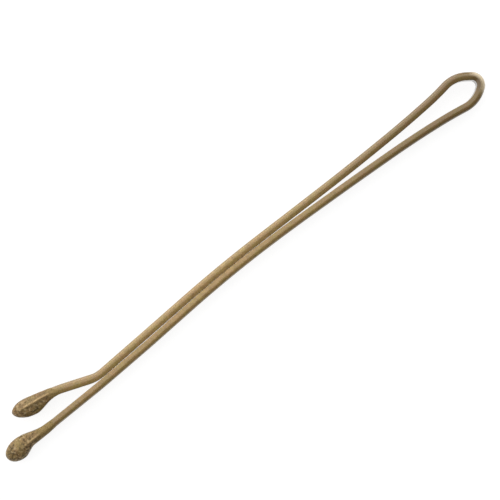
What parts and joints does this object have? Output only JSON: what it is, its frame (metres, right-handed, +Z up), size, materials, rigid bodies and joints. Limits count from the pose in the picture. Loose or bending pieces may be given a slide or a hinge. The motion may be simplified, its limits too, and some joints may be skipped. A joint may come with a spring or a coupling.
{
  "type": "bobby pin",
  "caption": "Smooth spring wire hair pin with one straight leg, one leg flared at its tip, a teardrop loop and a dipped resin drop on each wire end.",
  "frame": {"origin": "centre of the footprint of the pin lying on its side, on the surface it lies on", "axes": "+X along the pin towards the loop, +Y the way the flared leg opens, +Z up, across the wire's width"},
  "size_m": [0.0508, 0.0042, 0.0019],
  "materials": {
    "wire_lacquer": "satin bronze lacquer on spring steel wire",
    "tip_resin": "dipped bronze resin, faintly grainy"
  },
  "bodies": {
    "straight_side": {"straight_leg": "wire_lacquer", "spring_loop": "wire_lacquer", "straight_tip": "tip_resin"},
    "flared_side": {"flared_leg": "wire_lacquer", "flared_tip": "tip_resin"}
  },
  "joints": [
    {"name": "loop_flex", "type": "hinge", "parent": "straight_side", "child": "flared_side", "pos_m": [0.02505, -0.00055, 0.00095], "axis": [0, 0, -1], "range_deg": [0, 15], "stiffness_Nm_per_rad": 0.25, "springref_deg": -2.86, "deforming": ["spring_loop"]}
  ]
}
